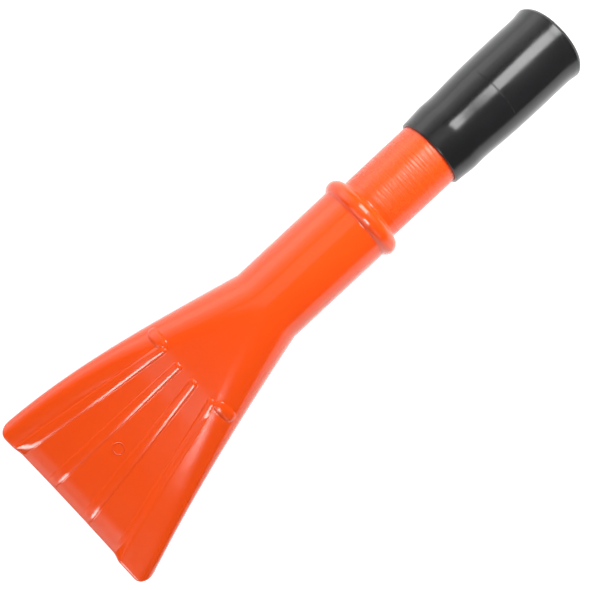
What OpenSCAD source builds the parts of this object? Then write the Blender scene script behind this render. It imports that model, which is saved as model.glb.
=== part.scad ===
// Vacuum claw nozzle with a push-on hose cuff.
//
// The nozzle is one blow-moulded shell: a wide flat mouth with raised ribs, a
// fan that narrows to a round neck, a stop bead, and a plain tail.  The soft
// cuff pushes onto the tail up to an inner shoulder, and its other end is the
// socket for a hose.
//
// Millimetres.  The tube axis is Y: the hose end is at the origin, the mouth
// lies at negative Y, and the flat of the mouth is level with Z up.

/* [Nozzle body] */
// Outer diameter of the plain tail
tail_d = 38.1; // [30:0.1:40]
// Outer diameter of the neck between the bead and the fan
neck_d = 44.5; // [42:0.1:50]
// Length of the neck from the bead's crest to the start of the fan
neck_len = 69; // [50:1:120]
// Tail length from the bead's crest to its end inside the cuff
tail_len = 94.5; // [94.5:0.5:110]
// Moulded wall thickness
wall = 2.5; // [1.5:0.1:3]
// Radius of the stop bead's round section
bead_r = 5.3; // [4.6:0.1:6]
// Height of the bead's crest above the tail
bead_rise = 5.9; // [4.8:0.1:7]

/* [Fan and mouth] */
// Length of the fan from the neck to the lip
fan_len = 148; // [120:0.5:180]
// Width between the fan's side lines at the lip, before its corners are rounded
mouth_w = 115; // [90:1:130]
// Outer thickness of the mouth at its side lobes
mouth_t = 19; // [17:0.5:26]
// Sideways shift of the mouth's middle from the tube axis
mouth_shift = 8.7; // [0:0.1:10]
// Corner radius of the mouth, seen from above
corner_r = 6; // [3:0.2:9]
// How far the lip's middle stands back from its ends
lip_hollow = 0.7; // [0:0.1:1.5]
// Width of each side lobe's rounded flank at the mouth
lobe_w = 13; // [10:0.5:18]
// Radius of the right lobe's crown across the fan
crown_r = 100; // [80:5:400]
// How far the ribbed panel sinks below the right lobe
panel_sink = 1.5; // [0.3:0.1:1.6]
// Extra pinch of the panel at the lip
lip_pinch = 2.4; // [0:0.1:2.6]

/* [Ribs and bumps] */
// Distance from the neck to the upper ends of the ribs
rib_start = 52.5; // [46:0.5:60]
// Rib height above the panel
rib_h = 0.9; // [0.6:0.1:2.2]
// Rib width at its upper end
rib_w_top = 5.6; // [4:0.1:6.5]
// Rib width at the lip
rib_w_lip = 6.5; // [5:0.1:8]
// Height of the two obround bumps beside the ribs
bump_h = 1; // [0.6:0.1:2]
// Length of each bump across the fan
bump_len = 12.8; // [10:0.1:14]
// Width of each bump along the fan
bump_w = 6.6; // [5:0.1:8]
// Distance of each bump's middle from the tube axis
bump_x = 25.8; // [24:0.1:27]

/* [Hose cuff] */
// Overall length of the cuff
cuff_len = 88; // [84:1:100]
// Outer diameter of the cuff over its hose half
cuff_d = 45; // [44.6:0.1:48]
// Outer diameter of the nose where it meets the tail
nose_d = 41.5; // [41:0.1:43]
// Bore of the hose socket
socket_d = 40; // [38.5:0.1:41]
// Depth of the hose socket
socket_len = 40; // [30:1:42]
// Radial play between the cuff and the tail
cuff_play = 0.05; // [0.02:0.01:0.1]

/* [Hidden] */
$fn = 96;

orange = "#f4511e";
black = "#1d1d1f";

// Main radii and stations along Y
tail_r = tail_d / 2;
neck_r = neck_d / 2;
stop_len = 3;
tail_gap = 0.5;
tail_end_y = -socket_len - stop_len - tail_gap;
bead_y = tail_end_y - tail_len;
fan_y = bead_y - neck_len;
lip_y = fan_y - fan_len;
bead_mid_r = tail_r + bead_rise - bead_r;

// Rib middles across the fan, at the upper ends and at the lip
rib_x_top = [-19.6, -8.1, 3.6, 17.3];
rib_x_lip = [-32.7, -8.4, 17.9, 43.3];
rib_last = len(rib_x_top) - 1;
// Columns between the side edge and the outermost rib
flank_cols = 7;
// Where the rib columns sit on the neck, as a part of their upper-end places
neck_squeeze = 0.6;
// Share of the rib's half width taken by each sloping side
rib_slope = 0.32;
// Length over which a rib rises at its upper end
rib_ramp = 2.2;
// Share of the rib height left at the lip, and the part of a rib over which it falls
rib_lip_share = 0.45;
rib_fall_part = 0.45;
// How much squarer than an ellipse the left and right flanks are at the lip
flank_squareness = [1, 3];
// Part of the fan's length over which its thickness falls
taper_part = 0.75;
// Length over which the panel sinks below the ribs' upper ends
sink_len = 26;
// Length over which the lip is pinched, and how sharply
pinch_len = 14;
pinch_power = 2.2;
// Half-thickness slopes of the fan at the neck and at the end of its taper
t_slope = [-0.06, 0];
// Half-width slopes of the fan at the neck and at the lip
w_slope = [0.25, 0.205];
// Where the right side line turns into its corner, as a part of corner_r
corner_lean = 0.33;
embed = 3;
lip_round = 1;
// How far the neck's bore runs on into the fan, and the extra thickness of the
// fan's wall that keeps its cavity from grazing that bore
bore_past = 0.5;
cavity_margin = 0.15;

// Smooth 0-to-1 step, and a cubic with given end slopes
function clamp01(v) = min(1, max(0, v));
function ease(v) = let (c = clamp01(v)) c * c * (3 - 2 * c);
function cubic(t, a, b, sa, sb) =
    (1 - 3 * t * t + 2 * t * t * t) * a + (t - 2 * t * t + t * t * t) * sa
    + (3 * t * t - 2 * t * t * t) * b + (t * t * t - t * t) * sb;

// Fan dimensions at distance u from the neck, inset by d for the inner wall.
// Near the lip the sides of a ring stand back from its middle, to side_u.
function part(u) = clamp01(u / fan_len);
function near_lip(u) = ease(1 - (fan_len - u) / (3 * corner_r));
function side_u(u) = u - corner_r * near_lip(u);
function half_w(u, d) =
    cubic(part(side_u(u)), neck_r, mouth_w / 2, w_slope[0] * fan_len, w_slope[1] * fan_len)
    - pow(max(0, side_u(u) - fan_len + corner_r * (1 + corner_lean)), 2) / (2 * corner_r) - d;
function half_t(u, d) = let (run = fan_len * taper_part)
    cubic(clamp01(u / run), neck_r, mouth_t / 2, t_slope[0] * run, t_slope[1] * run) - d;
function flank(u, d) = neck_r + (lobe_w - neck_r) * ease(part(u) * 1.2) - d;
function mid_x(u) = mouth_shift * pow(part(side_u(u)), 3);

// Middle and half width of rib i at distance u from the neck
function rib_part(u) = (u - rib_start) / (fan_len - rib_start);
function rib_x(i, u) = u < rib_start
    ? rib_x_top[i] * (neck_squeeze + (1 - neck_squeeze) * max(0, u) / rib_start)
    : rib_x_top[i] + (rib_x_lip[i] - rib_x_top[i]) * min(1, rib_part(u));
function rib_half(u) = u < rib_start
    ? rib_w_top / 2 * (neck_squeeze + (1 - neck_squeeze) * max(0, u) / rib_start)
    : (rib_w_top + (rib_w_lip - rib_w_top) * min(1, rib_part(u))) / 2;

// Fall of the ribbed panel below the right lobe, and its further fall at the
// lip between the outer ribs.  Both end under a rib: past_rib is a smooth step
// across rib i, from its left foot to its right foot.
function sink(u) = panel_sink * ease((u - rib_start + 4) / sink_len);
function pinch(u) = lip_pinch * pow(clamp01(1 - (fan_len - u) / pinch_len), pinch_power);
function past_rib(i, x, u) = let (h = rib_half(u)) ease((x - rib_x(i, u) + h) / (2 * h));
function lobe_rise(x, u) = past_rib(rib_last, x, u) * (sink(u) + pinch(u));

// Fall of the right lobe's crown at a point, from the last rib's middle
function crown_fall(x, u) =
    ease(rib_part(u) + 0.5) * pow(max(0, x - rib_x(rib_last, u)), 2) / (2 * crown_r);

// Height of the upper face above the mid plane at a point, without ribs
function face_z(x, u, d) = let (
        f = half_w(u, d) - flank(u, d),
        e = clamp01((abs(x - mid_x(u)) - f) / flank(u, d)),
        n = 2 + flank_squareness[x < mid_x(u) ? 0 : 1] * pow(part(u), 2),
        fall = (sink(u) + pinch(u) * past_rib(0, x, u)) * (1 - past_rib(rib_last, x, u)))
    half_t(u, d) * pow(1 - pow(e, n), 1 / n) - (fall + crown_fall(x, u)) * (1 - e);

// Seen from above, the lip's corners are round and its middle is hollow
function set_back(x, u) = let (
        off = abs(x - mid_x(u)),
        e = clamp01((off - (half_w(u, 0) - corner_r)) / corner_r))
    (corner_r * (1 - sqrt(1 - e * e)) + lip_hollow * (1 - pow(off / half_w(u, 0), 2))) * near_lip(u);

// Columns across the upper face from its left edge to its right edge: the
// flanks, the four edges of each rib and one line between ribs.  A column is
// [x, share of the rib height].
function left_flank(u, d) = let (
        edge = mid_x(u) - half_w(u, d), foot = rib_x(0, u) - rib_half(u))
    [for (k = [0 : flank_cols - 1]) [edge + (foot - edge) * (1 - cos(90 * k / flank_cols)), 0]];
function right_flank(u, d) = let (
        edge = mid_x(u) + half_w(u, d), foot = rib_x(rib_last, u) + rib_half(u))
    [for (k = [flank_cols - 1 : -1 : 0]) [edge + (foot - edge) * (1 - cos(90 * k / flank_cols)), 0]];
function rib_cols(u) = [for (i = [0 : rib_last]) let (
        x = rib_x(i, u), h = rib_half(u), s = h * (1 - rib_slope))
    each concat([[x - h, 0], [x - s, 1], [x + s, 1], [x + h, 0]],
        i < rib_last ? [[(x + rib_x(i + 1, u)) / 2, 0]] : [])];
function columns(u, d) = concat(left_flank(u, d), rib_cols(u), right_flank(u, d));

// One closed ring of points round the fan at distance u, inset by d; ribs is
// the share of the rib height that shows
function rib_rise(u) = rib_h * ease((u - rib_start + rib_ramp / 2) / rib_ramp)
    * (1 - (1 - rib_lip_share) * ease(rib_part(u) / rib_fall_part));
function ring(u, d, ribs) = let (
        cols = columns(u, d), n = len(cols),
        top = [for (c = cols) [
            c[0], fan_y - u + set_back(c[0], u),
            face_z(c[0], u, d) + max(0, c[1] * ribs * rib_rise(u) - lobe_rise(c[0], u))]])
    concat(top, [for (k = [n - 2 : -1 : 1]) [top[k][0], top[k][1], -top[k][2]]]);

// Closed solid through a list of rings, with flat strips closing both ends
module loft(rings) {
    n = len(rings[0]);
    half = n / 2;
    last = len(rings) - 1;
    sides = [for (r = [0 : last - 1], k = [0 : n - 1]) let (
            a = r * n + k, b = r * n + (k + 1) % n)
        each [[a, b, b + n], [a, b + n, a + n]]];
    start_cap = [for (k = [0 : half - 1]) let (
            a = k, b = k + 1, c = (n - k - 1) % n, d = (n - k) % n)
        each concat(k == 0 ? [] : [[d, b, a]], k == half - 1 ? [] : [[d, c, b]])];
    end_cap = [for (f = start_cap) [f[2] + last * n, f[1] + last * n, f[0] + last * n]];
    polyhedron([for (r = rings) each r], concat(sides, start_cap, end_cap), convexity = 6);
}

// Stations of the outer face, closer together at the rib ends and at the lip
outer_stations = concat(
    [0, 6, 14, 23, 32, 41, 48],
    [for (k = [-1, 0, 1]) rib_start + k * rib_ramp / 2],
    [62, 74, 87, 100, 112, 122, 130],
    [for (k = [10, 6, 3, lip_round]) fan_len - k]);
cavity_stations = [0, 10, 22, 36, 52, 70, 88, 106, 122, 134, 141];

module fan_outer() {
    neck_ring = [for (p = ring(0, 0.25, 0)) [p[0], p[1] + embed, p[2]]];
    lip_ring = ring(fan_len, 0.7, 0.5);
    loft(concat([neck_ring], [for (u = outer_stations) ring(u, 0.04, 1)], [lip_ring]));
}

module fan_cavity() {
    neck_ring = [for (p = ring(0, wall + 0.3, 0)) [p[0], p[1] + embed, p[2]]];
    past_lip = [for (p = ring(fan_len, wall, 0)) [p[0], lip_y - embed, p[2]]];
    loft(concat([neck_ring], [for (u = cavity_stations) ring(u, wall + cavity_margin, 0)],
        [ring(fan_len, wall, 0)], [past_lip]));
}

// Obround dome on the fan's upper face, sunk into the wall at its edge
module bump(x) {
    turns = 20;
    steps = [0.45, 0.75, 0.92, 1];
    straight = (bump_len - bump_w) / 2;
    function spot(a, s) = let (c = cos(a))
        [x + s * (sign(c) * straight * (abs(c) > 0.01 ? 1 : 0) + bump_w / 2 * c),
         rib_start + s * bump_w / 2 * sin(a)];
    function lift(p, h) = [p[0], fan_y - p[1], face_z(p[0], p[1], 0) + h];
    rings = [for (s = steps, k = [0 : turns - 1])
        lift(spot(360 * (k + 0.5) / turns, s), bump_h * (1 - pow(s, 4)) - (s == 1 ? 0.5 : 0))];
    floor_ring = [for (k = [0 : turns - 1])
        lift(spot(360 * (k + 0.5) / turns, 1), -wall / 2)];
    points = concat(rings, floor_ring,
        [lift([x, rib_start], bump_h), lift([x, rib_start], -wall / 2)]);
    layers = len(steps);
    top_at = turns * (layers + 1);
    faces = concat(
        [for (k = [0 : turns - 1]) [k, top_at, (k + 1) % turns]],
        [for (r = [0 : layers - 1], k = [0 : turns - 1]) let (
                a = r * turns + k, b = r * turns + (k + 1) % turns)
            each [[a, b, b + turns], [a, b + turns, a + turns]]],
        [for (k = [0 : turns - 1]) let (r = layers * turns)
            [r + k, r + (k + 1) % turns, top_at + 1]]);
    polyhedron(points, faces, convexity = 4);
}

// Solid of revolution about the tube axis from [radius, y] points
module turned(points) {
    rotate([-90, 0, 0]) rotate_extrude() polygon(points);
}

// Points of a round arc in the [radius, y] plane
function arc(r, y, radius, from, to, steps = 12) =
    [for (k = [0 : steps]) let (a = from + (to - from) * k / steps)
        [r + radius * cos(a), y + radius * sin(a)]];

// Outside of the neck, the bead and the tail
module tube_outer() {
    turned([[0, fan_y], [neck_r, fan_y], [neck_r, bead_y], [tail_r, bead_y],
        [tail_r, tail_end_y - 0.8], [tail_r - 0.8, tail_end_y], [0, tail_end_y]]);
    turned([[0, bead_y - bead_r],
        each arc(bead_mid_r, bead_y, bead_r, -90, 90, 24), [0, bead_y + bead_r]]);
}

// Airway through the neck and the tail
module tube_bore() {
    turned([[0, fan_y - bore_past], [neck_r - wall, fan_y - bore_past], [neck_r - wall, bead_y - 3],
        [tail_r - wall, bead_y + 3], [tail_r - wall, tail_end_y + 1], [0, tail_end_y + 1]]);
}

module nozzle_body() {
    color(orange) difference() {
        union() {
            fan_outer();
            tube_outer();
            for (side = [-1, 1], face = [0, 1])
                mirror([0, 0, face]) bump(side * bump_x);
        }
        fan_cavity();
        tube_bore();
    }
}

// Soft cuff: nose, waist, hose half and flared lip outside; a socket for the
// tail, a stop shoulder and the hose socket inside
module hose_cuff() {
    cuff_r = cuff_d / 2;
    nose_r = nose_d / 2;
    tail_bore_r = tail_r + cuff_play;
    stop_r = tail_r - wall + 0.5;
    nose_len = 12.8;
    waist_y = -cuff_len + 20;
    lip_r = cuff_r + 0.65;
    color(black) turned([
        [tail_bore_r, -cuff_len], [nose_r - 0.7, -cuff_len], [nose_r, -cuff_len + 1.2],
        [nose_r + 0.95, -cuff_len + nose_len], [nose_r + 0.7, waist_y],
        [cuff_r - 0.15, -45], [cuff_r - 0.05, -44.6], [cuff_r, -24], [cuff_r - 0.1, -9],
        [lip_r - 0.15, -3], [lip_r, -1.6], [lip_r - 0.3, -0.5], [lip_r - 1, 0],
        [socket_d / 2, 0], [socket_d / 2, -socket_len],
        [stop_r, -socket_len], [stop_r, -socket_len - stop_len],
        [tail_bore_r, -socket_len - stop_len]]);
}

nozzle_body();
hose_cuff();
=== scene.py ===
"""Looks of the vacuum claw nozzle: a ribbed orange shell and a soft black hose cuff.

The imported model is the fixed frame.  The tube axis is Y, the hose end is at the
origin and the mouth lies at negative Y.  Shapes are worked out in millimetres and
written to the meshes in metres.
"""

import logging
import math
from dataclasses import dataclass
from enum import Enum

import bmesh
import bpy
import numpy as np
from mathutils import Matrix, Vector


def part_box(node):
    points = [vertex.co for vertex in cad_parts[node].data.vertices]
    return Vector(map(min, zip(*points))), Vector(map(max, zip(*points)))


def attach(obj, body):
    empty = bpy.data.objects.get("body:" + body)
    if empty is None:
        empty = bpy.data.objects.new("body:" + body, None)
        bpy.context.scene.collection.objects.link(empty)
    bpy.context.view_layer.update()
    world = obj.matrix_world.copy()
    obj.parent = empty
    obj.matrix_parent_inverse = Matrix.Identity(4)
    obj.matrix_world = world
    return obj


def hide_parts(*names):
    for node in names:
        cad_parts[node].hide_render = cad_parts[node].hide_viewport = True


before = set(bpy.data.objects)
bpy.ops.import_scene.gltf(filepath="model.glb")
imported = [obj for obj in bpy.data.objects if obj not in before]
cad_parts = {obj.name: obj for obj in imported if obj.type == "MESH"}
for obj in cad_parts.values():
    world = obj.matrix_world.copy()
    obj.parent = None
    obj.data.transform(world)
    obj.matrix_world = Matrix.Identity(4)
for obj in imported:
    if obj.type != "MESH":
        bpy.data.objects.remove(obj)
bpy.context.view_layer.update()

LOG = logging.getLogger("claw_nozzle")
MM = 0.001


class Body(str, Enum):
    """The CAD bodies that pieces ride on."""

    NOZZLE = "nozzle"
    CUFF = "cuff"


class Slot(str, Enum):
    """The record's material slots."""

    PLASTIC = "orange_plastic"
    VINYL = "black_vinyl"


# ---------------------------------------------------------------- small maths


def clamp01(v: np.ndarray) -> np.ndarray:
    """Limits values to 0..1."""
    return np.clip(v, 0.0, 1.0)


def ease(v: np.ndarray) -> np.ndarray:
    """Smooth step from 0 to 1."""
    c = clamp01(v)
    return c * c * (3 - 2 * c)


def cubic(t: np.ndarray, a: float, b: float, slope_a: float, slope_b: float) -> np.ndarray:
    """Cubic from a to b with the given end slopes.

    Args:
        t: Places between 0 and 1.
        a: Value at 0.
        b: Value at 1.
        slope_a: Slope at 0, per unit of t.
        slope_b: Slope at 1, per unit of t.

    Returns:
        The cubic's values.
    """
    t2, t3 = t * t, t * t * t
    return ((1 - 3 * t2 + 2 * t3) * a + (t - 2 * t2 + t3) * slope_a
            + (3 * t2 - 2 * t3) * b + (t3 - t2) * slope_b)


def arc(r: float, y: float, radius: float, start: float, end: float, steps: int) -> list[tuple[float, float]]:
    """Points of a round arc in the [radius, y] plane.

    Args:
        r: Distance of the arc's centre from the tube axis.
        y: Place of the centre along the axis.
        radius: Radius of the arc.
        start: First angle in degrees, from the radial direction towards +Y.
        end: Last angle in degrees.
        steps: Number of steps along the arc.

    Returns:
        The points as (radius, y) pairs.
    """
    angles = np.radians(np.linspace(start, end, steps + 1))
    return [(r + radius * math.cos(a), y + radius * math.sin(a)) for a in angles]


# ---------------------------------------------------------------- node helpers


class Nodes:
    """Adds and links nodes in one node tree."""

    def __init__(self, tree: bpy.types.NodeTree) -> None:
        """Starts with an empty tree."""
        self.tree = tree
        tree.nodes.clear()

    def add(self, kind: str, inputs: dict | None = None, **settings: object) -> bpy.types.Node:
        """Adds one node.

        Args:
            kind: Blender's node type name.
            inputs: Input names or numbers, each with a value or a socket to link.
            settings: Node properties to set first.

        Returns:
            The new node.
        """
        node = self.tree.nodes.new(kind)
        for name, value in settings.items():
            setattr(node, name, value)
        for name, value in (inputs or {}).items():
            if isinstance(value, bpy.types.NodeSocket):
                self.tree.links.new(value, node.inputs[name])
            else:
                node.inputs[name].default_value = value
        return node

    def math(self, operation: str, *values: object) -> bpy.types.NodeSocket:
        """Adds a Math node on values or sockets and returns its result."""
        return self.add("ShaderNodeMath", dict(enumerate(values)), operation=operation).outputs[0]


# ---------------------------------------------------------------- finishes


def object_coordinates(nodes: Nodes, stretch: tuple[float, float, float] = (1, 1, 1)) -> bpy.types.NodeSocket:
    """Object coordinates, scaled along each axis."""
    place = nodes.add("ShaderNodeTexCoord").outputs["Object"]
    return nodes.add("ShaderNodeMapping", {"Vector": place, "Scale": stretch}).outputs[0]


def noise(nodes: Nodes, place: bpy.types.NodeSocket, scale: float, detail: float = 2.0,
          roughness: float = 0.5) -> bpy.types.NodeSocket:
    """Noise between 0 and 1 at a given scale."""
    settings = {"Vector": place, "Scale": scale, "Detail": detail, "Roughness": roughness}
    return nodes.add("ShaderNodeTexNoise", settings).outputs[0]


def spread(nodes: Nodes, value: bpy.types.NodeSocket, low: float, high: float,
           to_low: float, to_high: float) -> bpy.types.NodeSocket:
    """Maps a value's range onto another, clamped."""
    settings = {"Value": value, "From Min": low, "From Max": high, "To Min": to_low, "To Max": to_high}
    return nodes.add("ShaderNodeMapRange", settings).outputs[0]


@dataclass(frozen=True)
class MouldedPlastic:
    """Semi-gloss blow-moulded polyethylene, with fine turning marks on the trimmed tail.

    tail_start is the place where the turning marks begin, in metres along the tube.
    Each scale is that of the noise that draws a mark, and each share is its height.
    """

    tail_start: float
    name: str = "moulded_orange"
    light: tuple[float, float, float, float] = (0.75, 0.069, 0.007, 1)
    deep: tuple[float, float, float, float] = (0.72, 0.062, 0.006, 1)
    roughness: float = 0.15
    turned_roughness: float = 0.27
    scuff_roughness: float = 0.03
    tail_run: float = 0.0015
    cloud_scale: float = 38
    scuff_scale: float = 220
    peel_scale: float = 900
    peel_share: float = 0.3
    wave_scale: float = 70
    wave_share: float = 0.7
    ring_scale: float = 700
    ring_share: float = 4.5
    ring_stretch: tuple[float, float, float] = (0.12, 1, 0.12)
    relief: float = 0.22
    relief_depth: float = 0.0003

    def build(self) -> bpy.types.Material:
        """Makes the material.

        Returns:
            The finish, with its patterns on Object coordinates.
        """
        material = bpy.data.materials.new(self.name)
        material.use_nodes = True
        nodes = Nodes(material.node_tree)
        place = object_coordinates(nodes)
        cloud = noise(nodes, place, self.cloud_scale, 3)
        tint = nodes.add("ShaderNodeMix", {"Factor": cloud, 6: self.deep, 7: self.light}, data_type="RGBA")
        y = nodes.add("ShaderNodeSeparateXYZ", {0: place}).outputs["Y"]
        turned = spread(nodes, y, self.tail_start, self.tail_start + self.tail_run, 0, 1)
        scuff = spread(nodes, noise(nodes, place, self.scuff_scale, 4, 0.6), 0.45, 0.75, 0, 1)
        gloss = nodes.math("ADD", self.roughness, nodes.math("MULTIPLY", scuff, self.scuff_roughness))
        dulled = nodes.math("MULTIPLY", turned, self.turned_roughness - self.roughness)
        rough = nodes.math("ADD", gloss, dulled)

        peel = nodes.math("MULTIPLY", noise(nodes, place, self.peel_scale, 2), self.peel_share)
        wave = nodes.math("MULTIPLY", noise(nodes, place, self.wave_scale, 1), self.wave_share)
        rings = noise(nodes, object_coordinates(nodes, self.ring_stretch), self.ring_scale, 2)
        marks = nodes.math("MULTIPLY", nodes.math("MULTIPLY", rings, turned), self.ring_share)
        height = nodes.math("ADD", nodes.math("ADD", peel, wave), marks)
        bump = nodes.add("ShaderNodeBump", {
            "Height": height, "Strength": self.relief, "Distance": self.relief_depth})
        shader = nodes.add("ShaderNodeBsdfPrincipled", {
            "Base Color": tint.outputs[2], "Roughness": rough, "Normal": bump.outputs[0],
            "IOR": 1.5, "Subsurface Weight": 0.06, "Subsurface Radius": (1.0, 0.25, 0.08),
            "Subsurface Scale": 0.002})
        nodes.add("ShaderNodeOutputMaterial", {"Surface": shader.outputs[0]})
        return material


@dataclass(frozen=True)
class SoftVinyl:
    """Glossy black soft vinyl with faint drawn lines round the cuff.

    Each scale is that of the noise that draws a mark, and each share is its height.
    """

    name: str = "soft_black_vinyl"
    base: tuple[float, float, float, float] = (0.007, 0.007, 0.0074, 1)
    faded: tuple[float, float, float, float] = (0.011, 0.011, 0.0115, 1)
    roughness: float = 0.17
    smear_roughness: float = 0.08
    cloud_scale: float = 60
    smear_scale: float = 150
    smear_stretch: tuple[float, float, float] = (1, 0.25, 1)
    peel_scale: float = 500
    peel_share: float = 0.2
    wave_scale: float = 90
    wave_share: float = 0.9
    wave_stretch: tuple[float, float, float] = (1, 0.5, 1)
    relief: float = 0.18
    relief_depth: float = 0.0003

    def build(self) -> bpy.types.Material:
        """Makes the material.

        Returns:
            The finish, with its patterns on Object coordinates.
        """
        material = bpy.data.materials.new(self.name)
        material.use_nodes = True
        nodes = Nodes(material.node_tree)
        place = object_coordinates(nodes)
        cloud = noise(nodes, place, self.cloud_scale, 3)
        tint = nodes.add("ShaderNodeMix", {"Factor": cloud, 6: self.base, 7: self.faded}, data_type="RGBA")
        smear = noise(nodes, object_coordinates(nodes, self.smear_stretch), self.smear_scale, 3)
        dulled = nodes.math("MULTIPLY", spread(nodes, smear, 0.4, 0.75, 0, 1), self.smear_roughness)
        rough = nodes.math("ADD", self.roughness, dulled)
        peel = noise(nodes, place, self.peel_scale, 2)
        wave = noise(nodes, object_coordinates(nodes, self.wave_stretch), self.wave_scale, 1)
        height = nodes.math("ADD", nodes.math("MULTIPLY", peel, self.peel_share),
                            nodes.math("MULTIPLY", wave, self.wave_share))
        bump = nodes.add("ShaderNodeBump", {
            "Height": height, "Strength": self.relief, "Distance": self.relief_depth})
        shader = nodes.add("ShaderNodeBsdfPrincipled", {
            "Base Color": tint.outputs[2], "Roughness": rough, "Normal": bump.outputs[0], "IOR": 1.5})
        nodes.add("ShaderNodeOutputMaterial", {"Surface": shader.outputs[0]})
        return material


@dataclass(frozen=True)
class StudioPaper:
    """Plain white paper for the floor."""

    name: str = "studio_paper"
    color: tuple[float, float, float, float] = (0.3, 0.3, 0.3, 1)
    glow: float = 0.87
    roughness: float = 0.8

    def build(self) -> bpy.types.Material:
        """Makes the material.

        Returns:
            The floor's finish.
        """
        material = bpy.data.materials.new(self.name)
        material.use_nodes = True
        nodes = Nodes(material.node_tree)
        shader = nodes.add("ShaderNodeBsdfPrincipled", {
            "Base Color": self.color, "Roughness": self.roughness,
            "Emission Color": (1, 1, 1, 1), "Emission Strength": self.glow})
        nodes.add("ShaderNodeOutputMaterial", {"Surface": shader.outputs[0]})
        return material


# ---------------------------------------------------------------- mesh helpers


def mesh_object(name: str, points: np.ndarray, faces: np.ndarray) -> bpy.types.Object:
    """Makes a smooth mesh object at the origin.

    Args:
        name: Name of the piece.
        points: Vertex places in millimetres, one row each.
        faces: Corner numbers, one row per face.

    Returns:
        The new object, linked to the scene.
    """
    mesh = bpy.data.meshes.new(name)
    mesh.from_pydata((points * MM).tolist(), [], faces.tolist())
    mesh.shade_smooth()
    piece = bpy.data.objects.new(name, mesh)
    bpy.context.scene.collection.objects.link(piece)
    return piece


def set_attribute(piece: bpy.types.Object, name: str, values: np.ndarray) -> None:
    """Stores one number for each vertex of a piece."""
    attribute = piece.data.attributes.new(name, "FLOAT", "POINT")
    attribute.data.foreach_set("value", values.astype(np.float32))


def set_input(modifier: bpy.types.Modifier, name: str, value: object) -> None:
    """Sets a Geometry Nodes modifier's input, found by the name in its tree.

    Args:
        modifier: The modifier.
        name: The input's name.
        value: The value it gets.
    """
    for item in modifier.node_group.interface.items_tree:
        if item.item_type == "SOCKET" and item.in_out == "INPUT" and item.name == name:
            modifier[item.identifier] = value
            return
    raise KeyError(name)


def freeze(piece: bpy.types.Object) -> None:
    """Turns a piece and its modifiers into a plain mesh.

    Args:
        piece: The piece, which keeps its name and loses its modifiers.
    """
    bpy.context.view_layer.update()
    evaluated = piece.evaluated_get(bpy.context.evaluated_depsgraph_get())
    made = bpy.data.meshes.new_from_object(evaluated)
    piece.modifiers.clear()
    piece.data = made
    made.name = piece.name
    made.shade_smooth()


def run_tree(piece: bpy.types.Object, tree: bpy.types.NodeTree, values: dict[str, object]) -> None:
    """Puts a Geometry Nodes tree on a piece with its inputs, and freezes the result.

    Args:
        piece: The piece.
        tree: The tree.
        values: Input names, each with its value.
    """
    modifier = piece.modifiers.new(tree.name, "NODES")
    modifier.node_group = tree
    for name, value in values.items():
        set_input(modifier, name, value)
    freeze(piece)


def new_geometry_tree(name: str, inputs: dict[str, str]) -> tuple[Nodes, bpy.types.Node]:
    """Starts a Geometry Nodes tree.

    Args:
        name: Name of the tree.
        inputs: Input names, each with its socket type, after the geometry.

    Returns:
        The node helper and the group's input node.
    """
    tree = bpy.data.node_groups.new(name, "GeometryNodeTree")
    tree.interface.new_socket("Geometry", in_out="INPUT", socket_type="NodeSocketGeometry")
    for label, kind in inputs.items():
        tree.interface.new_socket(label, in_out="INPUT", socket_type=kind)
    tree.interface.new_socket("Geometry", in_out="OUTPUT", socket_type="NodeSocketGeometry")
    nodes = Nodes(tree)
    return nodes, nodes.add("NodeGroupInput")


def finish_tree(nodes: Nodes, geometry: bpy.types.NodeSocket, material: bpy.types.NodeSocket) -> None:
    """Ends a tree with real geometry that has its material.

    Args:
        nodes: The tree's node helper.
        geometry: The shape made so far.
        material: The socket that brings the finish.
    """
    real = nodes.add("GeometryNodeRealizeInstances", {"Geometry": geometry}).outputs[0]
    dressed = nodes.add("GeometryNodeSetMaterial", {"Geometry": real, "Material": material}).outputs[0]
    nodes.add("NodeGroupOutput", {"Geometry": dressed})


# ---------------------------------------------------------------- nozzle


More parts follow.
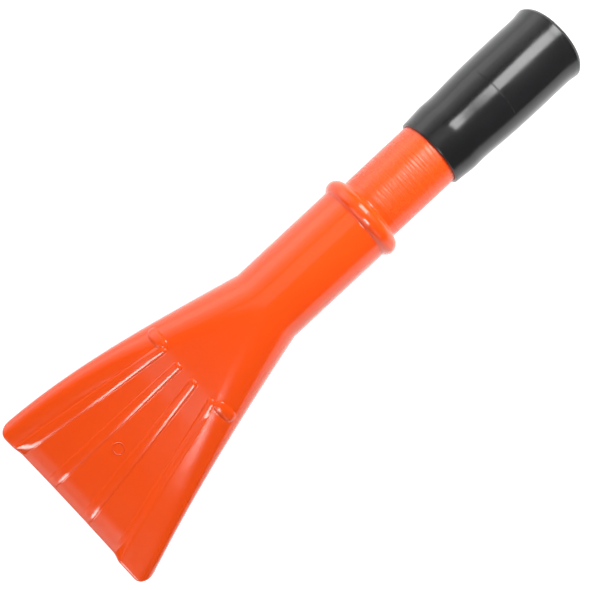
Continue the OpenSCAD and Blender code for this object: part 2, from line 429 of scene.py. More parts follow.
@dataclass(frozen=True)
class FanForm:
    """Shape of the fan between the neck and the mouth, in millimetres.

    u is the distance from the neck towards the mouth, x is across the fan and d is
    an inset from the outer face.
    """

    neck_r: float = 22.25
    length: float = 148
    mouth_w: float = 115
    mouth_t: float = 19
    mouth_shift: float = 8.7
    shift_power: int = 3
    corner_r: float = 6
    lip_hollow: float = 0.7
    corner_lean: float = 0.33
    corner_reach: float = 3
    lobe_w: float = 13
    lobe_rate: float = 1.2
    crown_r: float = 100
    crown_lead: float = 0.5
    flank_squareness: tuple[float, float] = (1, 3)
    sink_len: float = 26
    sink_lead: float = 4
    panel_sink: float = 1.5
    lip_pinch: float = 2.4
    pinch_len: float = 14
    pinch_power: float = 2.2
    width_slopes: tuple[float, float] = (0.25, 0.205)
    taper_part: float = 0.75
    thickness_slopes: tuple[float, float] = (-0.06, 0)
    rib_start: float = 52.5
    rib_widths: tuple[float, float] = (5.6, 6.5)
    rib_x_top: tuple[float, ...] = (-19.6, -8.1, 3.6, 17.3)
    rib_x_lip: tuple[float, ...] = (-32.7, -8.4, 17.9, 43.3)
    neck_squeeze: float = 0.6
    rib_end_len: float = 2.8
    rib_fade_len: float = 3.4
    rib_lip_share: float = 0.45
    rib_fall_part: float = 0.45
    rib_roundness: float = 3.5
    bump_x: float = 25.8
    bump_len: float = 12.8
    bump_w: float = 6.6

    def part(self, u: np.ndarray) -> np.ndarray:
        """Distance as a part of the fan's length."""
        return clamp01(u / self.length)

    def near_lip(self, u: np.ndarray) -> np.ndarray:
        """How much of the corners' set-back applies, 0 to 1."""
        return ease(1 - (self.length - u) / (self.corner_reach * self.corner_r))

    def side_u(self, u: np.ndarray) -> np.ndarray:
        """Distance from the neck at a ring's sides, which stand back near the lip."""
        return u - self.corner_r * self.near_lip(u)

    def half_w(self, u: np.ndarray, d: np.ndarray) -> np.ndarray:
        """Half width of the fan."""
        slopes = [s * self.length for s in self.width_slopes]
        turn = np.maximum(0, self.side_u(u) - self.length + self.corner_r * (1 + self.corner_lean))
        line = cubic(self.part(self.side_u(u)), self.neck_r, self.mouth_w / 2, *slopes)
        return line - turn ** 2 / (2 * self.corner_r) - d

    def half_t(self, u: np.ndarray, d: np.ndarray) -> np.ndarray:
        """Half thickness of the fan at its lobes, which stays even after its taper."""
        run = self.length * self.taper_part
        slopes = [s * run for s in self.thickness_slopes]
        return cubic(clamp01(u / run), self.neck_r, self.mouth_t / 2, *slopes) - d

    def flank(self, u: np.ndarray, d: np.ndarray) -> np.ndarray:
        """Width of each rounded flank."""
        return self.neck_r + (self.lobe_w - self.neck_r) * ease(self.part(u) * self.lobe_rate) - d

    def mid_x(self, u: np.ndarray) -> np.ndarray:
        """Middle of the fan, which shifts sideways towards the mouth."""
        return self.mouth_shift * self.part(self.side_u(u)) ** self.shift_power

    def rib_part(self, u: np.ndarray) -> np.ndarray:
        """Place along the ribs, 0 at their upper ends and 1 at the lip."""
        return (u - self.rib_start) / (self.length - self.rib_start)

    def spread_below(self, u: np.ndarray) -> np.ndarray:
        """Scale of the rib columns between the neck and the ribs' upper ends."""
        return self.neck_squeeze + (1 - self.neck_squeeze) * clamp01(u / self.rib_start)

    def rib_x(self, i: int, u: np.ndarray) -> np.ndarray:
        """Middle of rib i."""
        along = clamp01(self.rib_part(u))
        return self.spread_below(u) * self.rib_x_top[i] + (self.rib_x_lip[i] - self.rib_x_top[i]) * along

    def rib_half(self, u: np.ndarray) -> np.ndarray:
        """Half width of a rib."""
        top, lip = self.rib_widths
        return (self.spread_below(u) * top + (lip - top) * clamp01(self.rib_part(u))) / 2

    def rib_share(self, u: np.ndarray) -> np.ndarray:
        """Height of the ribs as a part of their height at their upper ends."""
        return 1 - (1 - self.rib_lip_share) * ease(self.rib_part(u) / self.rib_fall_part)

    def past_rib(self, i: int, x: np.ndarray, u: np.ndarray) -> np.ndarray:
        """Smooth step across rib i, from 0 at its left foot to 1 at its right foot."""
        h = self.rib_half(u)
        return ease((x - self.rib_x(i, u) + h) / (2 * h))

    def sink(self, u: np.ndarray) -> np.ndarray:
        """Fall of the panel below the right lobe."""
        return self.panel_sink * ease((u - self.rib_start + self.sink_lead) / self.sink_len)

    def pinch(self, u: np.ndarray) -> np.ndarray:
        """Further fall of the panel close to the lip."""
        return self.lip_pinch * clamp01(1 - (self.length - u) / self.pinch_len) ** self.pinch_power

    def lobe_rise(self, x: np.ndarray, u: np.ndarray) -> np.ndarray:
        """Rise of the wall from the panel to the right lobe, which lies under the last rib."""
        return self.past_rib(len(self.rib_x_top) - 1, x, u) * (self.sink(u) + self.pinch(u))

    def face_z(self, x: np.ndarray, u: np.ndarray, d: np.ndarray) -> np.ndarray:
        """Height of the upper face above the mid plane, without ribs.

        Args:
            x: Places across the fan.
            u: Distances from the neck.
            d: Insets from the outer face.

        Returns:
            The heights.
        """
        flat = self.half_w(u, d) - self.flank(u, d)
        e = clamp01((np.abs(x - self.mid_x(u)) - flat) / self.flank(u, d))
        left_n, right_n = self.flank_squareness
        n = 2 + np.where(x < self.mid_x(u), left_n, right_n) * self.part(u) ** 2
        last = len(self.rib_x_top) - 1
        fall = (self.sink(u) + self.pinch(u) * self.past_rib(0, x, u)) * (1 - self.past_rib(last, x, u))
        beyond = np.maximum(0, x - self.rib_x(last, u))
        crown = ease(self.rib_part(u) + self.crown_lead) * beyond ** 2 / (2 * self.crown_r)
        return self.half_t(u, d) * (1 - e ** n) ** (1 / n) - (fall + crown) * (1 - e)

    def set_back(self, x: np.ndarray, u: np.ndarray) -> np.ndarray:
        """How far the lip's hollow middle and round corners stand back from its line."""
        off = np.abs(x - self.mid_x(u))
        e = clamp01((off - (self.half_w(u, 0) - self.corner_r)) / self.corner_r)
        hollow = self.lip_hollow * (1 - (off / self.half_w(u, 0)) ** 2)
        return (self.corner_r * (1 - np.sqrt(1 - e * e)) + hollow) * self.near_lip(u)

    def rib_rho(self, x: np.ndarray, u: np.ndarray) -> np.ndarray:
        """Distance from the nearest rib's middle: 0 on its crest and 1 at its foot.

        Args:
            x: Places across the fan.
            u: Distances from the neck.

        Returns:
            The distances, as parts of the rib's half width.
        """
        end = clamp01((self.rib_start + self.rib_end_len - u) / self.rib_end_len)
        end = np.where(u < self.rib_start, 1.0, end)
        fade = clamp01((u - self.length + self.rib_fade_len) / self.rib_fade_len)
        along = np.maximum(end, fade)
        power = self.rib_roundness
        rho = np.full(x.shape, 2.0)
        for i in range(len(self.rib_x_top)):
            across = np.abs(x - self.rib_x(i, u)) / self.rib_half(u)
            rho = np.minimum(rho, (across ** power + along ** power) ** (1 / power))
        return rho

    def bump_rho(self, x: np.ndarray, u: np.ndarray) -> np.ndarray:
        """Distance from the nearer obround bump's middle line: 1 at its foot."""
        straight = (self.bump_len - self.bump_w) / 2
        across = np.maximum(np.abs(np.abs(x) - self.bump_x) - straight, 0)
        return np.hypot(across, u - self.rib_start) / (self.bump_w / 2)


@dataclass(frozen=True)
class PlainRing:
    """A plain raised ring between the middle ribs, on the upper face."""

    form: FanForm
    x: float = 2.1
    u: float = 107.3
    radius: float = 3.1
    half_width: float = 0.38
    height: float = 0.36
    sunk: float = 0.5
    turns: int = 72
    steps: int = 8

    def build(self, shell: "NozzleShell", material: bpy.types.Material) -> bpy.types.Object:
        """Builds the ring on the shell's face.

        Args:
            shell: The shell it stands on.
            material: The shell's finish.

        Returns:
            The finished piece.
        """
        around = np.radians(np.arange(self.turns) * 360 / self.turns)
        crest = np.linspace(0, math.pi, self.steps)
        offset = np.append(self.half_width * np.cos(crest), [-self.half_width, self.half_width])
        lift = np.append(self.height * np.sin(crest), [-self.sunk, -self.sunk])
        reach = self.radius + offset[None, :]
        x = self.x + reach * np.cos(around)[:, None]
        u = self.u + reach * np.sin(around)[:, None]
        z = self.form.face_z(x, u, 0 * x) + lift[None, :]
        points = np.stack([x, shell.fan_y - u, z], axis=-1).reshape(-1, 3)
        grid = np.arange(points.shape[0]).reshape(self.turns, -1)
        down, right = np.roll(grid, -1, 0), np.roll(grid, -1, 1)
        faces = np.stack([grid, right, np.roll(down, -1, 1), down], axis=-1).reshape(-1, 4)
        piece = mesh_object("plain_ring", points, faces)
        piece.data.materials.append(material)
        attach(piece, Body.NOZZLE.value)
        return piece


@dataclass
class NozzleShell:
    """The blow-moulded shell: fan, neck, stop bead, tail and the airway inside.

    Each ring band is the distance from the neck at which it ends and its rings. A
    ring that is inset by less than skin_inset is on the outer face.
    """

    form: FanForm
    wall: float = 2.5
    tail_r: float = 19.05
    bead_r: float = 5.3
    bead_rise: float = 5.9
    tail_len: float = 94.5
    neck_len: float = 69
    neck_fillet: float = 1.6
    tail_fillet: float = 1.3
    rib_height: float = 0.9
    bump_height: float = 1.0
    shoulder: float = 2.6
    bump_shoulder: float = 2.2
    rib_crispness: float = 0.8
    bump_crispness: float = 0.7
    parting_ridge: float = 0.12
    bead_clear: float = 12
    turned_gap: float = 8
    flank_steps: int = 40
    rib_steps: int = 16
    gap_steps: int = 10
    ring_bands: tuple[tuple[float, int], ...] = ((47, 22), (58.4, 38), (131, 36), (142, 12))
    lip_band_rings: int = 12
    skin_inset: float = 0.01

    @property
    def tail_end_y(self) -> float:
        """Place of the tail's end, from the CAD node."""
        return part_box("nozzle_body")[1].y / MM

    @property
    def bead_y(self) -> float:
        """Place of the stop bead's crest."""
        return self.tail_end_y - self.tail_len

    @property
    def fan_y(self) -> float:
        """Place where the fan meets the neck."""
        return self.bead_y - self.neck_len

    @property
    def turned_y(self) -> float:
        """Place where the tail's turning marks start."""
        return self.bead_y + self.turned_gap

    def columns(self, u: np.ndarray, d: np.ndarray) -> np.ndarray:
        """Places across the upper face from its left edge to its right edge.

        Args:
            u: One distance from the neck for each ring.
            d: One inset for each ring.

        Returns:
            One row of places for each ring.
        """
        form = self.form
        edges = [form.mid_x(u) - form.half_w(u, d)]
        for i in range(len(form.rib_x_top)):
            edges += [form.rib_x(i, u) - form.rib_half(u), form.rib_x(i, u) + form.rib_half(u)]
        edges.append(form.mid_x(u) + form.half_w(u, d))
        flank = 1 - np.cos(np.linspace(0, math.pi / 2, self.flank_steps, endpoint=False))
        rib = (1 - np.cos(np.linspace(0, math.pi, self.rib_steps, endpoint=False))) / 2
        gap = (1 - np.cos(np.linspace(0, math.pi, self.gap_steps, endpoint=False))) / 2
        parts = []
        for k, (a, b) in enumerate(zip(edges, edges[1:])):
            if k == 0:
                share = flank
            elif k == len(edges) - 2:
                share = np.sin(np.linspace(0, math.pi / 2, self.flank_steps + 1))
            else:
                share = rib if k % 2 else gap
            parts.append(a[:, None] + (b - a)[:, None] * share[None, :])
        return np.concatenate(parts, axis=1)

    def fan_rings(self) -> tuple[np.ndarray, np.ndarray]:
        """Rings over the lip and back inside.

        Returns:
            Their distances from the neck and their insets.
        """
        length, lip = self.form.length, self.wall / 2
        bands, start = [], 0
        for end, rings in (*self.ring_bands, (length - lip, self.lip_band_rings)):
            bands.append(np.linspace(start, end, rings, endpoint=False))
            start = end
        outside = np.concatenate(bands)
        turn = np.linspace(0, math.pi, 11)
        inside = np.linspace(length - lip, 0, 28)[1:]
        u = np.concatenate([outside, length - lip + lip * np.sin(turn), inside])
        d = np.concatenate([0 * outside, lip * (1 - np.cos(turn)), 0 * inside + self.wall])
        return u, d

    def tube_profile(self) -> list[tuple[float, float]]:
        """The bore, the tail's end, the tail, the bead and the neck.

        Returns:
            The outline as (radius, y) pairs.
        """
        neck_r, wall = self.form.neck_r, self.wall
        bead_mid = self.tail_r + self.bead_rise - self.bead_r
        bore_neck, bore_tail = neck_r - wall, self.tail_r - wall
        down = [(bore_neck, y) for y in np.linspace(self.fan_y + 8, self.bead_y - 4, 5)]
        down += [(bore_tail, y) for y in np.linspace(self.bead_y + 4, self.tail_end_y - 4, 7)]
        end = arc(bore_tail + 0.6, self.tail_end_y - 0.6, 0.6, 180, 90, 3)
        end += arc(self.tail_r - 0.8, self.tail_end_y - 0.8, 0.8, 90, 0, 4)
        back = [(self.tail_r, y) for y in np.linspace(self.tail_end_y - 4, self.bead_y + self.bead_clear, 12)]
        return down + end + back + self.bead_profile(bead_mid) + [
            (neck_r, y) for y in np.linspace(self.bead_y - self.bead_clear, self.fan_y + 4, 8)]

    def bead_profile(self, bead_mid: float) -> list[tuple[float, float]]:
        """The bead with a fillet on each side, from the tail to the neck.

        Args:
            bead_mid: Distance of the bead's round middle from the tube axis.

        Returns:
            The outline as (radius, y) pairs.
        """
        points = []
        sides = ((self.tail_r, self.tail_fillet, 1), (self.form.neck_r, self.neck_fillet, -1))
        for base, fillet, side in sides:
            reach = self.bead_r + fillet
            lift = base + fillet - bead_mid
            offset = math.sqrt(reach * reach - lift * lift)
            meet = math.degrees(math.asin(lift / reach))
            centre_y = self.bead_y + side * offset
            angles = np.radians(np.linspace(0, 90 - meet, 7))
            curve = [(base + fillet - fillet * math.cos(a), centre_y - side * fillet * math.sin(a))
                     for a in angles]
            points.append((curve, meet))
        (tail_curve, tail_meet), (neck_curve, neck_meet) = points
        crown = arc(bead_mid, self.bead_y, self.bead_r, 90 - tail_meet, -90 + neck_meet, 30)
        return tail_curve + crown[1:-1] + neck_curve[::-1]

    def build(self, material: bpy.types.Material) -> bpy.types.Object:
        """Builds the shell, raises its ribs and bumps, and puts it on the nozzle body.

        Args:
            material: The finish of the moulded plastic.

        Returns:
            The finished piece.
        """
        u, d = self.fan_rings()
        x = self.columns(u, d)
        rows, half = x.shape
        uu, dd = np.repeat(u[:, None], half, 1), np.repeat(d[:, None], half, 1)
        inside = dd > self.skin_inset
        z = self.form.face_z(x, uu, dd)
        y = self.fan_y - uu + self.form.set_back(x, uu)
        marks = {
            "rib_rho": (np.where(inside, 1.0, self.form.rib_rho(x, uu)), 1.0),
            "rib_share": (self.form.rib_share(uu), 1.0),
            "bump_rho": (np.where(inside, 1.0, self.form.bump_rho(x, uu)), 1.0),
            "lobe_rise": (np.where(inside, 0.0, self.form.lobe_rise(x, uu)) * MM, 0.0)}

        def closed(upper: np.ndarray, lower: np.ndarray) -> np.ndarray:
            """Joins the upper face's values and the lower face's into closed rings."""
            return np.concatenate([upper, lower[:, half - 2:0:-1]], axis=1)

        ring_x, ring_y, ring_z = closed(x, x), closed(y, y), closed(z, -z)
        width = ring_x.shape[1]

        angle = np.arctan2(ring_z[0], ring_x[0])
        profile = np.array(self.tube_profile())
        tube_x = profile[:, :1] * np.cos(angle)[None, :]
        tube_z = profile[:, :1] * np.sin(angle)[None, :]
        tube_y = np.repeat(profile[:, 1:], width, 1)
        points = np.stack([
            np.concatenate([ring_x, tube_x]), np.concatenate([ring_y, tube_y]),
            np.concatenate([ring_z, tube_z])], axis=-1).reshape(-1, 3)
        seam = np.zeros(points.shape[0])
        total = rows + len(profile)
        grid = np.arange(total * width).reshape(total, width)
        down, right = np.roll(grid, -1, 0), np.roll(grid, -1, 1)
        both = np.roll(down, -1, 1)
        faces = np.stack([grid, down, both, right], axis=-1).reshape(-1, 4)
        past_tail = (profile[:, 0] > self.tail_r + 0.02) & (profile[:, 1] < self.bead_y + self.bead_clear)
        outside_rows = np.concatenate([
            np.flatnonzero(d < self.skin_inset), rows + np.flatnonzero(past_tail)])
        for column in (0, half - 1):
            seam[grid[outside_rows, column]] = 1

        piece = mesh_object("nozzle_shell", points, faces)
        for name, (values, on_tube) in marks.items():
            tube_values = np.full(tube_x.shape, on_tube)
            set_attribute(piece, name, np.concatenate([closed(values, values), tube_values]).ravel())
        set_attribute(piece, "seam", seam)
        run_tree(piece, self.raise_tree(), {
            "Rib Height": self.rib_height * MM, "Rib Shoulder": self.shoulder,
            "Bump Height": self.bump_height * MM, "Bump Shoulder": self.bump_shoulder,
            "Parting Ridge": self.parting_ridge * MM, "Material": material})
        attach(piece, Body.NOZZLE.value)
        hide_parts("nozzle_body")
        return piece

    def raise_tree(self) -> bpy.types.NodeTree:
        """Geometry Nodes that raise the ribs, the bumps and the parting line out of the wall.

        Returns:
            The tree, with its heights and shoulders as named inputs.
        """
        nodes, given = new_geometry_tree("raise_from_wall", {
            "Rib Height": "NodeSocketFloat", "Rib Shoulder": "NodeSocketFloat",
            "Bump Height": "NodeSocketFloat", "Bump Shoulder": "NodeSocketFloat",
            "Parting Ridge": "NodeSocketFloat", "Material": "NodeSocketMaterial"})

        def attribute(name: str) -> bpy.types.NodeSocket:
            """Reads a number stored on the vertices."""
            reader = nodes.add("GeometryNodeInputNamedAttribute", {"Name": name}, data_type="FLOAT")
            return reader.outputs[0]

        def dome(name: str, height: bpy.types.NodeSocket, power: bpy.types.NodeSocket,
                 crispness: float) -> bpy.types.NodeSocket:
            """Height of a crest with round shoulders.

            Args:
                name: Attribute with the distance from the crest, 1 at the foot.
                height: Height of the crest.
                power: How broad the crest is.
                crispness: How soft the foot is; below 1 it is crisper.

            Returns:
                The height at each vertex.
            """
            fall = nodes.math("POWER", nodes.math("MINIMUM", attribute(name), 1.0), power)
            rest = nodes.math("MAXIMUM", nodes.math("SUBTRACT", 1.0, fall), 0.0)
            return nodes.math("MULTIPLY", nodes.math("POWER", rest, crispness), height)

        crest = nodes.math("MULTIPLY", given.outputs["Rib Height"], attribute("rib_share"))
        rib_dome = dome("rib_rho", crest, given.outputs["Rib Shoulder"], self.rib_crispness)
        ribs = nodes.math("SUBTRACT", rib_dome, attribute("lobe_rise"))
        bumps = dome("bump_rho", given.outputs["Bump Height"], given.outputs["Bump Shoulder"],
                     self.bump_crispness)
        ridge = nodes.math("MULTIPLY", attribute("seam"), given.outputs["Parting Ridge"])
        raised = nodes.math("MAXIMUM", nodes.math("MAXIMUM", ribs, bumps), 0.0)
        lift = nodes.math("ADD", raised, ridge)
        normal = nodes.add("GeometryNodeInputNormal").outputs[0]
        offset = nodes.add("ShaderNodeVectorMath", {0: normal, "Scale": lift}, operation="SCALE").outputs[0]
        moved = nodes.add("GeometryNodeSetPosition", {
            "Geometry": given.outputs["Geometry"], "Offset": offset})
        finish_tree(nodes, moved.outputs[0], given.outputs["Material"])
        return nodes.tree


# ---------------------------------------------------------------- cuff


@dataclass
class HoseCuff:
    """The soft cuff: nose, waist, hose half and flared lip outside, two sockets inside."""

    tail_bore_r: float = 19.1
    stop_r: float = 17.05
    stop_len: float = 3
    socket_r: float = 20
    socket_len: float = 40
    nose_r: float = 20.75
    nose_len: float = 12.8
    body_r: float = 22.5
    lip_r: float = 23.15
    seam_y: float = -45
    seam_angles: tuple[float, float] = (48, 131)
    seam_r: float = 0.3
    seam_level: float = 0.12
    seam_rings: int = 61
    seam_sides: int = 10
    pip_angle: float = 68
    pip_r: float = 0.42
    pip_rings: int = 9
    pip_sides: int = 12
    segments: int = 160

    @property
    def nose_y(self) -> float:
        """Place of the nose's end, from the CAD node."""
        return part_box("hose_cuff")[0].y / MM

    def profile(self) -> list[tuple[float, float]]:
        """The closed outline of the cuff's wall.

        Returns:
            The outline as (radius, y) pairs.
        """
        nose, nose_r, body = self.nose_y, self.nose_r, self.body_r
        outside = arc(nose_r - 0.75, nose + 0.75, 0.75, -90, 0, 6)
        outside += [(nose_r + 0.2, nose + 4), (nose_r + 0.75, nose + 10),
                    (nose_r + 0.95, nose + self.nose_len), (nose_r + 0.88, nose + 15),
                    (nose_r + 0.72, nose + 18), (nose_r + 0.72, nose + 22),
                    (nose_r + 1.0, nose + 28), (nose_r + 1.4, nose + 36)]
        outside += [(body - self.seam_level, self.seam_y), (body, -36), (body + 0.02, -24),
                    (body - 0.06, -12), (body - 0.04, -8), (body + 0.12, -5.5)]
        outside += arc(self.lip_r - 1.3, -2.2, 1.3, 0, 60, 6)
        outside += [(self.lip_r - 1.1, -0.75), (self.lip_r - 1.15, -0.55)]
        outside += arc(self.lip_r - 1.6, -0.45, 0.45, 15, 90, 4)
        inside = arc(self.socket_r + 0.5, -0.5, 0.5, 90, 180, 4)
        stop_y = -self.socket_len - self.stop_len
        inside += [(self.socket_r, -20), (self.socket_r, -self.socket_len), (self.stop_r, -self.socket_len),
                   (self.stop_r, stop_y), (self.tail_bore_r, stop_y), (self.tail_bore_r, -66)]
        inside += arc(self.tail_bore_r + 0.3, nose + 0.3, 0.3, 180, 270, 3)
        return outside + inside

    def build(self, material: bpy.types.Material) -> bpy.types.Object:
        """Turns the outline round the tube axis and puts the cuff on its body.

        Args:
            material: The finish of the soft vinyl.

        Returns:
            The finished piece.
        """
        piece = turned_piece("cuff_skin", self.profile(), self.segments, material)
        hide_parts("hose_cuff")
        for part in (piece, self.seam(material), self.pip(material)):
            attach(part, Body.CUFF.value)
        return piece

    def seam(self, material: bpy.types.Material) -> bpy.types.Object:
        """The short raised parting seam over the top of the cuff.

        Args:
            material: The finish of the soft vinyl.

        Returns:
            The seam, which thins out at both ends.
        """
        surface = self.body_r - self.seam_level
        along = np.radians(np.linspace(*self.seam_angles, self.seam_rings))
        fade = np.sin(np.linspace(0, math.pi, self.seam_rings)) ** 0.25
        round_ = np.radians(np.arange(self.seam_sides) * 360 / self.seam_sides)
        size = self.seam_r * np.maximum(fade, 0.05)[:, None]
        r = surface + size * np.cos(round_)[None, :]
        y = self.seam_y + size * np.sin(round_)[None, :]
        points = np.stack([r * np.cos(along)[:, None], y, r * np.sin(along)[:, None]], axis=-1)
        return closed_tube("cuff_seam", points.reshape(-1, 3), self.seam_rings, self.seam_sides, material)

    def pip(self, material: bpy.types.Material) -> bpy.types.Object:
        """The small moulding pip beside the seam.

        Args:
            material: The finish of the soft vinyl.

        Returns:
            The pip, a small ball half sunk in the wall.
        """
        angle = math.radians(self.pip_angle)
        outward = np.array([math.cos(angle), 0, math.sin(angle)])
        middle = outward * (self.body_r - 0.15) + [0, self.seam_y - 0.2, 0]
        lat = np.radians(np.linspace(-89, 89, self.pip_rings))
        round_ = np.radians(np.arange(self.pip_sides) * 360 / self.pip_sides)
        ball = np.stack([np.outer(np.cos(lat), np.cos(round_)), np.outer(np.cos(lat), np.sin(round_)),
                         np.outer(np.sin(lat), np.ones(self.pip_sides))], axis=-1)
        points = (middle + self.pip_r * ball).reshape(-1, 3)
        return closed_tube("cuff_pip", points, self.pip_rings, self.pip_sides, material)


def closed_tube(name: str, points: np.ndarray, rows: int, width: int,
                material: bpy.types.Material) -> bpy.types.Object:
    """Makes a tube of rings with both ends closed.

    Args:
        name: Name of the piece.
        points: Vertex places in millimetres, ring after ring.
        rows: Number of rings.
        width: Points in each ring.
        material: The piece's finish.

    Returns:
        The piece as a plain mesh with its faces turned outwards.
    """
    grid = np.arange(rows * width).reshape(rows, width)
    right = np.roll(grid, -1, 1)
    faces = np.stack([grid[:-1], grid[1:], right[1:], right[:-1]], axis=-1).reshape(-1, 4).tolist()
    faces += [grid[0].tolist(), grid[-1].tolist()[::-1]]
    mesh = bpy.data.meshes.new(name)
    mesh.from_pydata((points * MM).tolist(), [], faces)
    work = bmesh.new()
    work.from_mesh(mesh)
    bmesh.ops.recalc_face_normals(work, faces=work.faces)
    work.to_mesh(mesh)
    work.free()
    mesh.shade_smooth()
    mesh.materials.append(material)
    piece = bpy.data.objects.new(name, mesh)
    bpy.context.scene.collection.objects.link(piece)
    return piece


def turned_piece(name: str, outline: list[tuple[float, float]], segments: int,
                 material: bpy.types.Material) -> bpy.types.Object:
    """Turns a closed outline round the tube axis with Geometry Nodes.

    Args:
        name: Name of the piece.
        outline: Closed outline as (radius, y) in millimetres.
        segments: Steps round the axis.
        material: The piece's finish.

    Returns:
        The piece as a plain mesh.
    """
    mesh = bpy.data.meshes.new(name)
    count = len(outline)
    edges = [(k, (k + 1) % count) for k in range(count)]
    mesh.from_pydata([(r * MM, y * MM, 0) for r, y in outline], edges, [])
    piece = bpy.data.objects.new(name, mesh)
    bpy.context.scene.collection.objects.link(piece)
    run_tree(piece, turning_tree(), {"Segments": segments, "Material": material})
    return piece


def turning_tree() -> bpy.types.NodeTree:
    """Geometry Nodes that turn an outline in the XY plane round the Y axis.

    The outline is swept round a small guide circle, so it is first moved in by that
    circle's radius.

    Returns:
        The tree, with its steps round the axis as a named input.
    """
    guide_r = 0.001
    nodes, given = new_geometry_tree("turn_round_axis", {
        "Segments": "NodeSocketInt", "Material": "NodeSocketMaterial"})
    outline = nodes.add("GeometryNodeMeshToCurve", {"Mesh": given.outputs["Geometry"]}).outputs[0]
    start = nodes.add("GeometryNodeCurvePrimitiveCircle", {
        "Resolution": given.outputs["Segments"], "Radius": guide_r}).outputs[0]
    inner = nodes.add("GeometryNodeTransform", {
        "Geometry": outline, "Translation": (-guide_r, 0, 0)}).outputs[0]
    swept = nodes.add("GeometryNodeCurveToMesh", {"Curve": start, "Profile Curve": inner}).outputs[0]
    upright = nodes.add("GeometryNodeTransform", {
        "Geometry": swept, "Rotation": (math.pi / 2, 0, 0)}).outputs[0]
    finish_tree(nodes, upright, given.outputs["Material"])
    return nodes.tree


# ---------------------------------------------------------------- studio


@dataclass(frozen=True)
class Softbox:
    """A rectangular soft light aimed at a point of the object's mid plane.

    The tilts are its angles from straight up, in degrees, towards +X and +Y.
    """

    name: str
    aim: tuple[float, float]
    tilt_x: float
    tilt_y: float
    distance: float
    size_x: float
    size_y: float
    radiance: float
    glossy: bool = True
    diffuse: bool = True

    def place(self) -> bpy.types.Object:
        """Puts the light in the scene.

        Returns:
            The light's object.
        """
        target = Vector((*self.aim, 0))
        lean_x, lean_y = (math.tan(math.radians(a)) for a in (self.tilt_x, self.tilt_y))
        direction = Vector((lean_x, lean_y, 1)).normalized()
        data = bpy.data.lights.new(self.name, "AREA")
        data.shape = "RECTANGLE"
        data.size, data.size_y = self.size_x, self.size_y
        data.energy = self.radiance * math.pi * self.size_x * self.size_y
        lamp = bpy.data.objects.new(self.name, data)
        bpy.context.scene.collection.objects.link(lamp)
        lamp.visible_glossy, lamp.visible_diffuse = self.glossy, self.diffuse
        across = Vector((1, 0, 0)) - direction * direction.x
        across.normalize()
        up = direction.cross(across)
        turn = Matrix((across, up, direction)).transposed().to_4x4()
        lamp.matrix_world = Matrix.Translation(target + direction * self.distance) @ turn
        return lamp


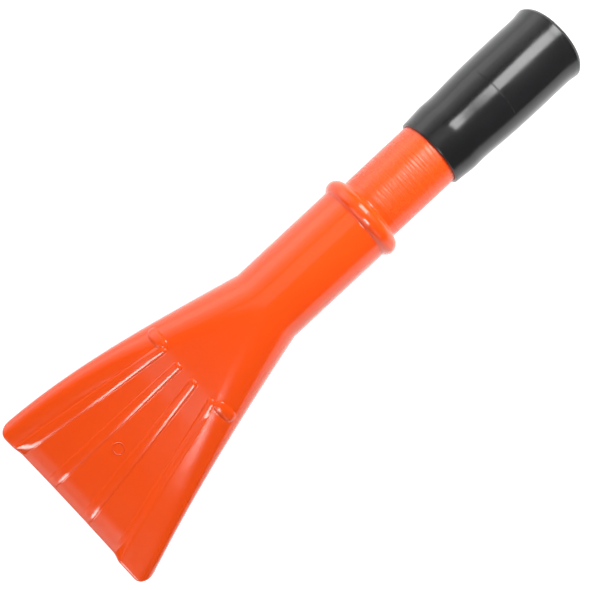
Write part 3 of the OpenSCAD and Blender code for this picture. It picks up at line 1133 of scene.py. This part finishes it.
@dataclass
class Studio:
    """Camera, floor and lights."""

    eye_height: float = 0.480
    axis_turn: float = 42.97
    aim_x: float = 0.0063
    aim_y: float = -0.1917
    lens: float = 54.915
    film: float = 36
    fill: float = 0.08
    floor_reach: float = 4.0
    boxes: tuple[Softbox, ...] = (
        Softbox("hose_side_box", (0, -0.05), -11, 32, 0.55, 0.25, 0.42, 11.0),
        Softbox("mouth_side_box", (0.03, -0.29), 18, -34, 2.5, 0.70, 0.86, 16.0, diffuse=False),
        Softbox("mouth_fill", (0, -0.20), 10, -50, 0.8, 0.5, 0.5, 1.2, glossy=False),
        Softbox("mouth_side_wall", (0, -0.30), -8, -62, 1.4, 1.2, 0.7, 1.4),
        Softbox("mouth_side_glow", (0, -0.30), -8, -53, 1.4, 1.3, 1.2, 0.7),
        Softbox("left_panel", (-0.03, -0.18), -78, 0, 1.4, 0.7, 1.9, 0.9),
        Softbox("left_mid", (-0.03, -0.18), -71, 0, 1.43, 1.0, 1.9, 0.6),
        Softbox("left_glow", (-0.03, -0.18), -64, 0, 1.46, 1.35, 2.0, 0.6),
        Softbox("overhead_glow", (0, -0.15), -16, 0, 1.4, 0.9, 0.5, 0.7),
        Softbox("right_panel", (0.04, -0.30), 62, -46, 1.2, 0.8, 0.6, 0.8),
        Softbox("neck_fill", (0.01, -0.10), 12, 32, 0.32, 0.2, 0.2, 10.0, glossy=False),
    )

    def camera(self) -> bpy.types.Object:
        """Looks straight down on the object, turned about the line of sight.

        Returns:
            The camera.
        """
        data = bpy.data.cameras.new("camera")
        data.sensor_width = self.film
        data.lens = self.lens
        data.dof.use_dof = False
        eye = bpy.data.objects.new("camera", data)
        bpy.context.scene.collection.objects.link(eye)
        turn = Matrix.Rotation(math.radians(90 - self.axis_turn), 4, "Z")
        eye.matrix_world = Matrix.Translation((self.aim_x, self.aim_y, self.eye_height)) @ turn
        bpy.context.scene.camera = eye
        return eye

    def floor(self, contact: tuple[Vector, Vector]) -> bpy.types.Object:
        """A pale floor through the two places that the object rests on.

        Args:
            contact: The lowest points at the bead and at the neck's far end.

        Returns:
            The floor.
        """
        bead, neck = contact
        slope = (bead.z - neck.z) / (bead.y - neck.y)
        reach = self.floor_reach
        corners = [(x, y, bead.z + slope * (y - bead.y)) for x, y in
                   ((-reach, -reach), (reach, -reach), (reach, reach), (-reach, reach))]
        mesh = bpy.data.meshes.new("floor")
        mesh.from_pydata(corners, [], [(0, 1, 2, 3)])
        mesh.materials.append(StudioPaper().build())
        plane = bpy.data.objects.new("floor", mesh)
        bpy.context.scene.collection.objects.link(plane)
        return plane

    def light(self) -> None:
        """Places the soft lights and a dim surround."""
        for box in self.boxes:
            box.place()
        world = bpy.data.worlds.new("surround")
        bpy.context.scene.world = world
        world.use_nodes = True
        nodes = Nodes(world.node_tree)
        back = nodes.add("ShaderNodeBackground", {"Color": (1, 1, 1, 1), "Strength": self.fill})
        world.cycles_visibility.glossy = False
        nodes.add("ShaderNodeOutputWorld", {"Surface": back.outputs[0]})
        bpy.context.scene.view_settings.view_transform = "Standard"


# ---------------------------------------------------------------- assembly


def rest_points(shell: NozzleShell) -> tuple[Vector, Vector]:
    """The lowest points of the bead and of the neck's far end.

    The nozzle lies on these two, because its centre of mass is between them.

    Args:
        shell: The shell.

    Returns:
        The bead's point and the neck's.
    """
    crest = shell.tail_r + shell.bead_rise
    bead = Vector((0, shell.bead_y * MM, -crest * MM))
    neck = Vector((0, shell.fan_y * MM, -shell.form.neck_r * MM))
    return bead, neck


def main() -> None:
    """Builds every piece, then the studio."""
    logging.basicConfig(level=logging.INFO, format="%(name)s: %(message)s")
    shell = NozzleShell(FanForm())
    cuff = HoseCuff()
    plastic, vinyl = MouldedPlastic(shell.turned_y * MM).build(), SoftVinyl().build()
    for piece in (shell.build(plastic), PlainRing(shell.form).build(shell, plastic), cuff.build(vinyl)):
        LOG.info("%s: %d faces", piece.name, len(piece.data.polygons))
    studio = Studio()
    studio.camera()
    studio.floor(rest_points(shell))
    studio.light()


if __name__ == "__main__":
    main()
